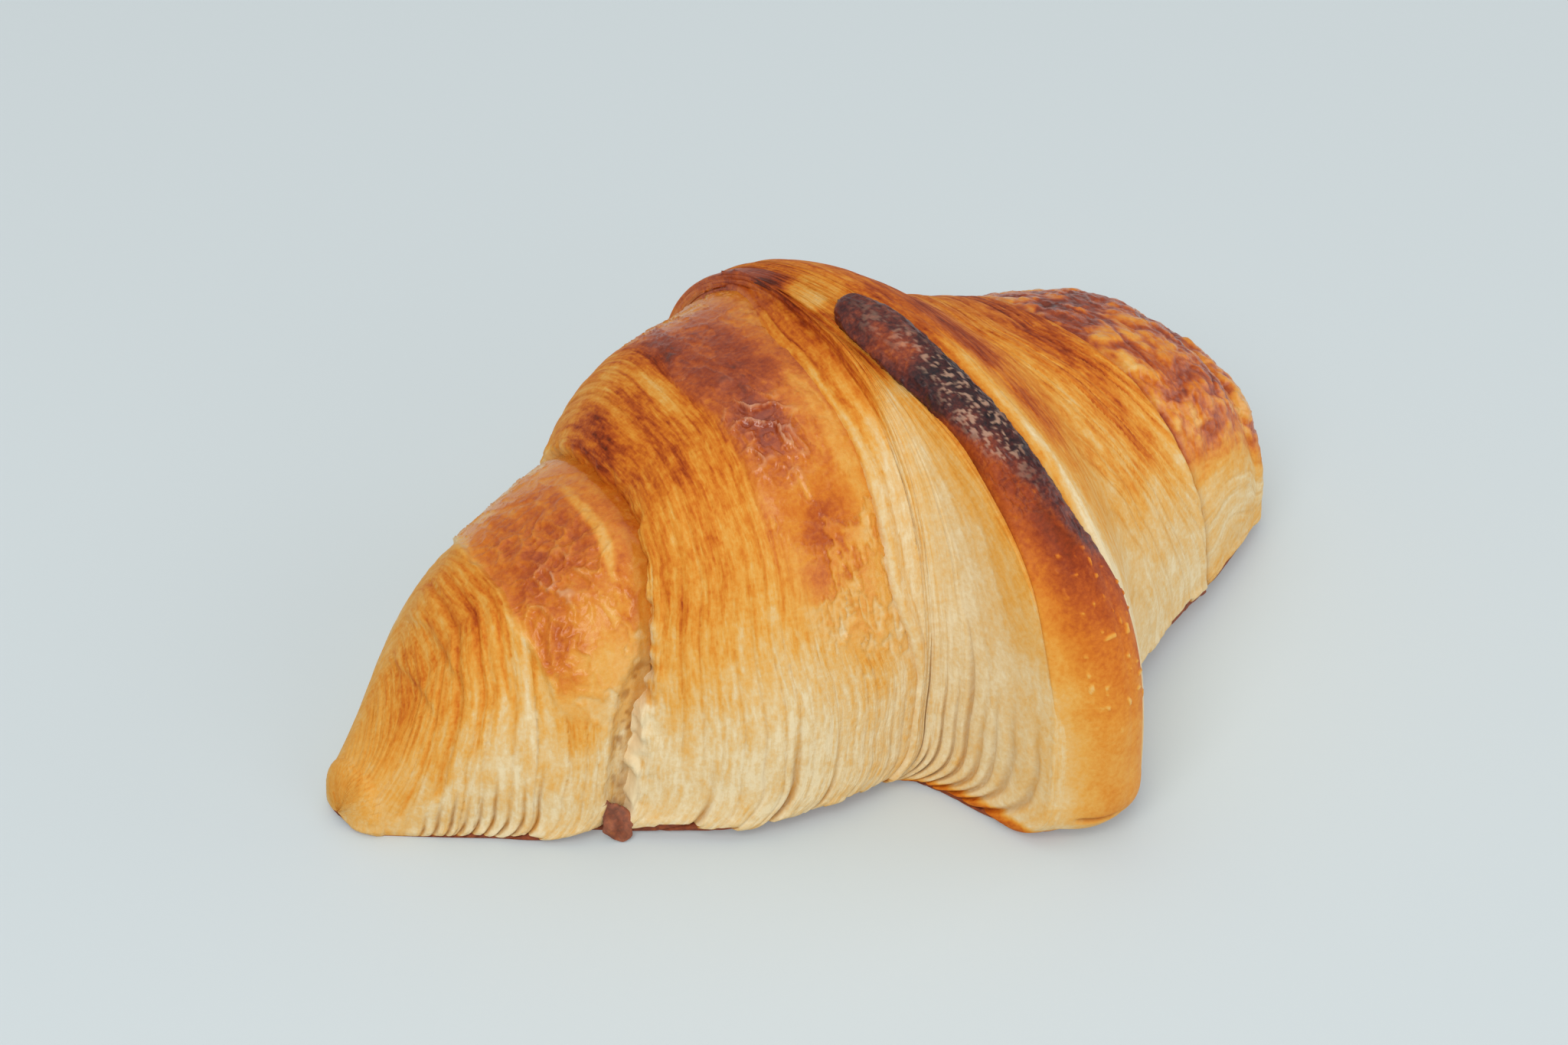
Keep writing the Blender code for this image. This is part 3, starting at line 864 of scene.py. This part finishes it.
def left_layers():
    """Rings from the second seam to the middle of the tongue."""
    wrap = ring_piece("left_layers", spaced((1.97, 2.12, 28), (2.12, 3.1, 140), (3.1, 3.5, 20)))
    skin = 0.6 * ease(wrap.angle + 5 * field(wrap.points, 8, 24), 104, 114)
    skin = skin * (1 - ease(wrap.angle, 195, 225))
    lean = 17 * np.clip((wrap.u - 2.15) / 0.6, 0, 1.2) * (1 - ease(wrap.angle, 90, 110))
    wrap.bake += curve(wrap.angle - lean, (-90, 0.78), (-52, 0.6), (-42, 0.12), (0, 0.09), (30, 0.15),
                       (54, 0.21), (61, 0.34), (68, 0.52), (80, 0.64), (95, 0.74), (112, 0.84), (135, 0.68),
                       (160, 0.46), (190, 0.22), (210, 0.13), (222, 0.6), (270, 0.78))
    wrap.relief += 0.6 * rough_field(wrap.points, 18, 23, 2)
    place = wrap.u + 0.04 * ease(wrap.over, 5, -40)
    softer = 1 - 0.5 * ease(wrap.u, 2.15, 2.45) * ease(wrap.over, 75, 60)
    wrap.shape_layers(layer_edges(1.96, 3.52, 18, 24), 0.32, softer * (1 - 0.6 * skin), 31, place=place)
    # Folds that run up from the foot, each to its own height, dark with painted shade.
    for at, high in ((2.08, -14), (2.25, 10), (2.36, -6), (2.45, 4), (2.56, 2), (2.65, 14), (2.72, 0),
                     (2.78, 2), (2.84, 2), (2.91, 2)):
        wrap.groove(at, -80, high, 0.011, 1, 0, 0.42)
    wrap.glaze += skin
    wrap.bake -= 0.14 * (1 - ease(wrap.u, 2.1, 2.17)) * ease(wrap.over, 58, 68)
    wrap.brown((0.2, 2.8, 0.5, 111, 4, 27), (0.3, 2.84, 0.13, 81, 7, 28), (-0.42, 3.4, 0.6, 101, 7, 26))
    # Browner beside the tongue, and lower where the tongue covers it.
    beside = ease(wrap.u, 2.72, 3.02) * (1 - ease(wrap.angle, 66, 84)) * ease(wrap.angle, -30, -10)
    wrap.bake += (0.08 + 0.16 * ease(wrap.angle, 12, 40)) * beside
    wrap.relief -= 0.6 * ease(wrap.u, 3.1, 3.3) * wrap.under_tongue()
    corner = ease(wrap.angle, 90, 125) * ease(wrap.angle, 190, 145)
    wrap.relief += 0.5 * (1 - ease(wrap.u, 2.1, 2.7)) * corner
    wrap.bake_foot(73, lower=0.4 * ease(wrap.u, 2.9, 3.1))
    lift = 1.2 - 0.7 * ease(wrap.over, 60, 80)
    wrap.lie_over(2, 1, lift, 0.2 * ease(wrap.angle, 110, 90), 25, ahead=1)
    return wrap.build(CRUST)


left_layers()


# ------------------------------------------------------------------------------
# Right cut of the middle wrap. The same stack of thin layers on the tongue's other side, swept back from it
# in slanting brown and golden stripes. It starts under the tongue and ends in an edge that lies over the
# blunt wrap.

def right_layers():
    """Rings from the middle of the tongue to the fifth seam."""
    wrap = ring_piece("right_layers", spaced((3.5, 3.9, 16), (3.9, 4.93, 160), (4.93, 5, 16)))
    wrap.bake += curve(wrap.angle, (-90, 0.78), (-52, 0.6), (-42, 0.12), (0, 0.09), (15, 0.15), (32, 0.27),
                       (48, 0.37), (62, 0.43), (78, 0.52), (92, 0.64), (115, 0.66), (135, 0.6), (160, 0.42),
                       (190, 0.22), (205, 0.12), (222, 0.6), (270, 0.78))
    wrap.relief += 0.6 * rough_field(wrap.points, 18, 43, 2)
    # Layers lean back from the tongue; a pale one stands proud beside it, paled by a painted highlight.
    lean = 0.24 * ease(wrap.u, 4.15, 4.6) * np.clip((95 - wrap.over) / 60, -0.1, 1.6)
    stripes = 0.7 + 0.3 * ease(wrap.u, 4.4, 4.5) * ease(wrap.over, 10, 40)
    stripes = stripes + 0.3 * ease(wrap.u, 4.12, 4.05)
    wrap.shape_layers(layer_edges(2.9, 5.05, 32, 44), 0.34, stripes, 41, place=wrap.u - lean, tint=1.15)
    pale = np.exp(-((wrap.u - 4.085) / 0.045) ** 2)
    pale = pale * ease(wrap.angle, 5, 20) * (1 - ease(wrap.angle, 76, 86))
    wrap.bake -= 0.32 * pale
    wrap.relief += 0.3 * pale
    wrap.brown((0.17, 4.26, 0.13, 83, 13, 45), (0.15, 4.27, 0.12, 62, 11, 46),
               (-0.1, 4.53, 0.07, 60, 36, 48), (0.15, 4.76, 0.13, 66, 34, 49),
               (0.08, 4.85, 0.1, 44, 24, 52), (-0.2, 3.6, 0.5, 100, 8, 26))
    wrap.relief -= 0.6 * ease(wrap.u, 3.95, 3.8) * wrap.under_tongue()
    wrap.bake_foot(74)
    wrap.lie_over(5, -1, 1.2, 0.3, 47)
    return wrap.build(CRUST)


right_layers()


# ------------------------------------------------------------------------------
# Blunt wrap. The roll's other end, all egg-washed skin down to a pale foot. The skin crept as the dough rose,
# so it set in slanting mounds with brown hollows. It slides under the middle wrap's edge.

def blunt_wrap():
    """Rings from a little under the fifth seam to the blunt end's pole.

    Over the rounded end the looks follow the height instead of the angle, because there the rings close up.
    """
    caps = LAST_SEAM + 0.5 * np.sin(np.linspace(0, 0.5 * np.pi, 56))[1:]
    wrap = ring_piece("blunt_wrap", np.concatenate([np.linspace(4.96, 6, 130), caps]))
    level = curve(wrap.height, (0, -45), (4, -10), (8, 14), (12, 28), (16, 42), (22, 64), (26, 90))
    wrap.over = wrap.over + (level - wrap.over) * ease(wrap.u, 5.85, 6.2)
    skin = ease(wrap.over + 9 * rough_field(wrap.points, 6, 55, 2), 20, 40)
    wrap.bake += curve(wrap.over, (-90, 0.78), (-52, 0.62), (-42, 0.22), (0, 0.22), (9, 0.14), (17, 0.18),
                       (24, 0.32), (34, 0.5), (50, 0.58), (72, 0.6), (90, 0.7))
    wrap.relief += 0.7 * rough_field(wrap.points, 14, 53, 2)
    wrap.shape_layers(layer_edges(-90, 90, 26, 54), 0.22, 0.8 - 0.75 * skin, 51, waver=1.2,
                      place=wrap.over, along=wrap.points[..., 0], tint=0.5)
    wrap.glaze += skin
    # Slanting mounds and creases in the skin.
    pushed = wrap.points + 3 * np.stack([field(wrap.points, 5, 81 + k) for k in range(3)], -1)
    slanted = np.stack([0.3 * (pushed[..., 0] - pushed[..., 2]), 0.8 * pushed[..., 1],
                        pushed[..., 0] + pushed[..., 2]], -1)
    mounds = 0.8 * rough_field(slanted, 3, 59, 3) + 0.35 * rough_field(wrap.points, 1.8, 63, 3)
    wrap.relief += skin * 0.6 * mounds
    wrap.bake -= skin * (0.2 * np.clip(4 * mounds, -0.6, 1) - 0.07)
    creases = crumple(wrap.points, 4.5, 58)
    wrap.relief -= (0.1 + 0.35 * skin) * (creases - 0.3)
    wrap.bake += skin * 0.12 * (creases - 0.4)
    wrap.brown((0.18, 5.3, 0.35, 106, 14, 56), (0.12, 5.8, 0.22, 62, 22, 60),
               (-0.12, 5.07, 0.06, 60, 34, 61), (0.12, 5.45, 0.3, 50, 14, 62))
    wrap.peel(skin * 0.8, 7, 57)
    wrap.bake_foot(75)
    wrap.slide_under(5, -1)
    return wrap.build(CRUST)


blunt_wrap()


# ------------------------------------------------------------------------------
# Tongue. The point of the dough's triangle, rolled last: a smooth, glazed strap stuck down over the widest
# turn, from the foot, where a slit opened, to its round tip on top. It stood proud in the oven, so its upper
# half is charred, with its film dried white on the char, in pale specks that are partly painted highlights.

TONGUE_FOOT_ANGLE = -24
TONGUE_TIP_ANGLE = 94


def tongue():
    """A thick strap from the foot to its round tip on top, along the middle of the widest wrap.

    Its section is a superellipse laid on the form: width across the roll by lift along the normal.
    """
    way = np.linspace(0, 1, 330)
    around = np.linspace(0, 360, 260, endpoint=False)
    t, section = np.meshgrid(way, around)
    angle = TONGUE_FOOT_ANGLE + (TONGUE_TIP_ANGLE - TONGUE_FOOT_ANGLE) * t
    tip = np.clip((t - 0.93) / 0.07, 0, 1)
    foot = np.clip((0.035 - t) / 0.035, 0, 1)
    rounding = np.sqrt(np.clip(1 - np.maximum(tip, foot) ** 2.2, 0, 1))
    # The strap: its two edges, its lift, and its place on the form.
    left = curve(angle, (-24, 3), (15, 3.00), (45, 3.08), (60, 3.08), (70, 3.02), (80, 2.92), (94, 2.92))
    right = curve(angle, (-24, 4.05), (0, 4.09), (28, 4.08), (50, 4.01), (70, 4.01), (94, 4.01))
    cosine = np.cos(np.radians(section))
    sine = np.sin(np.radians(section))
    out = np.sign(cosine) * np.abs(cosine) ** 0.75
    u = 0.5 * (left + right) + 0.5 * (right - left) * rounding * out
    lift = curve(angle, (-24, 1.2), (-5, 1.6), (10, 1.8), (40, 2.3), (60, 2.9), (94, 3.2))
    soft = 1 - 0.85 * ease(out, 0.3, -1) * (1 - ease(angle, 40, 60))
    rise = np.where(sine >= 0, lift * soft * np.abs(sine) ** 0.8, -1.6 * np.abs(sine)) * np.sqrt(rounding)
    base = dough_form(u, angle) + FORM_SHIFT
    du = dough_form(u + 0.02, angle) - dough_form(u - 0.02, angle)
    da = dough_form(u, angle + 1) - dough_form(u, angle - 1)
    up = np.cross(du, da)
    up = up / np.linalg.norm(up, axis=-1, keepdims=True)
    points = base + up * rise[..., None]
    piece = Piece("tongue", u, angle, points, outward(points))
    piece.along = lengths(points, 1)
    piece.across = 6 * (u - 3)
    piece.bake += curve(angle, (-24, 0.4), (0, 0.4), (14, 0.5), (26, 0.66), (38, 0.82), (48, 0.89),
                        (60, 0.88), (94, 0.84))
    piece.bake += 0.05 * out - 0.16 * ease(out, 0, -0.95) * (1 - ease(angle, 40, 60))
    # The burn, its blackest parts, its dry film with painted glints, and the brown rings below it.
    burn_edge = curve(angle, (32, 1.6), (36, 1), (42, 0.45), (48, 0.05), (54, -0.35), (60, -0.75),
                      (67, -1.1), (74, -1.8), (94, -1.8))
    burn = ease(out - burn_edge + 0.35 * rough_field(points, 5, 61, 2), -0.18, 0.22)
    black = piece.spot(3.35, 0.5, 73, 8, 62, 0.3) + piece.spot(3.8, 0.35, 66, 20, 66, 0.3)
    black = np.clip(black, 0, 1)
    film = crumple(points, 1.8, 64)
    grit = 0.4 * field(points, 0.8, 68) + 0.6 * field(points, 0.42, 69)
    dry = piece.spot(3.55, 0.45, 66, 17, 67, 0.3) + 0.35 * piece.spot(3.4, 0.4, 84, 9, 76, 0.3)
    dry = np.clip(dry, 0, 1)
    piece.char = burn * (0.46 + 0.3 * black + 0.22 * rough_field(points, 2.2, 63, 2))
    piece.char -= 0.24 * burn * piece.spot(3.25, 0.28, 81, 6, 77, 0.4)
    piece.pale_film_and_glint = burn * dry * ease(grit + 0.25 * film, 0.14, 0.34) * 0.6
    rings = piece.spot(3.4, 0.5, 53, 8, 78, 0.3) * ease(crumple(points, 1.4, 79), 0.36, 0.6)
    piece.char = np.maximum(piece.char, 0.24 * rings)
    piece.relief += 0.5 * rough_field(points, 14, 33, 2)
    piece.relief += burn * (0.3 * (film - 0.3) + 0.1 * grit) - 0.15 * rings
    # The slit at the foot, dark with painted shade, and small blisters in the glaze.
    slit = np.exp(-((angle + 12 + 2 * out) / 1.6) ** 2) * ease(out, -0.5, -0.2) * ease(out, 0.95, 0.7)
    rim = ease(angle, -13, -16) * ease(out, -0.9, -0.4)
    piece.relief -= 0.8 * slit
    piece.gap += 0.9 * slit
    piece.bake -= 0.14 * rim
    blister = ease(field(points, 0.9, 65), 0.55, 0.75) * (1 - burn)
    blister = blister * ease(angle, 4, 14) * ease(out, -0.5, 0)
    piece.relief += 0.25 * blister
    piece.bake -= 0.3 * blister
    piece.glaze += 0.25 + 0.5 * burn
    return piece.build(CRUST)


tongue()


# ------------------------------------------------------------------------------
# Torn flake. A scrap of the thin tip's wrap that tore off as the dough rose: a brown, curled bit of crust
# about 6 mm long that hangs from the front foot of the first seam.

def torn_flake():
    """A small closed superellipsoid, thin across its outward way, bent by the square of its length.

    Three ways at right angles, or nearly, place it: out from the seam, down along it, and to its side.
    """
    around, along = np.meshgrid(np.linspace(0, 360, 96, endpoint=False), np.linspace(-88, 88, 60),
                                indexing="ij")
    ring = np.cos(np.radians(along)) ** 0.45 * (1 + 0.25 * np.sin(np.radians(3 * along + 40)))
    length = 3.4 * np.sign(along) * np.abs(np.sin(np.radians(along))) ** 0.9
    wide = 1.7 * ring * np.cos(np.radians(around))
    thick = 0.5 * ring * np.sin(np.radians(around)) + 0.06 * length**2
    at = dough_form(np.array([1]), np.array([-14]))[0] + FORM_SHIFT
    outward_way = np.array([-0.35, -0.85, 0.38])
    down_way = np.array([0.3, -0.35, -0.88])
    side_way = np.cross(outward_way, down_way)
    points = (at + 0.3 * outward_way + thick[..., None] * outward_way + length[..., None] * down_way
              + wide[..., None] * side_way)
    piece = Piece("torn_flake", 0 * around + 1, around - 90, points, outward(points))
    piece.along = length
    piece.across = 0.6 * wide
    piece.relief += 0.9 * rough_field(points, 3, 91, 3) + 0.3 * field(points, 0.9, 94)
    piece.bake += 0.76 + 0.26 * rough_field(points, 1.6, 92, 3)
    piece.gap += 0.5 * ease(rough_field(points, 1.4, 93, 2), -0.2, 0.3)
    piece.char += 0.34
    piece.pale_film_and_glint += 0.18
    piece.cut += 0.6
    return piece.build(CRUST)


torn_flake()
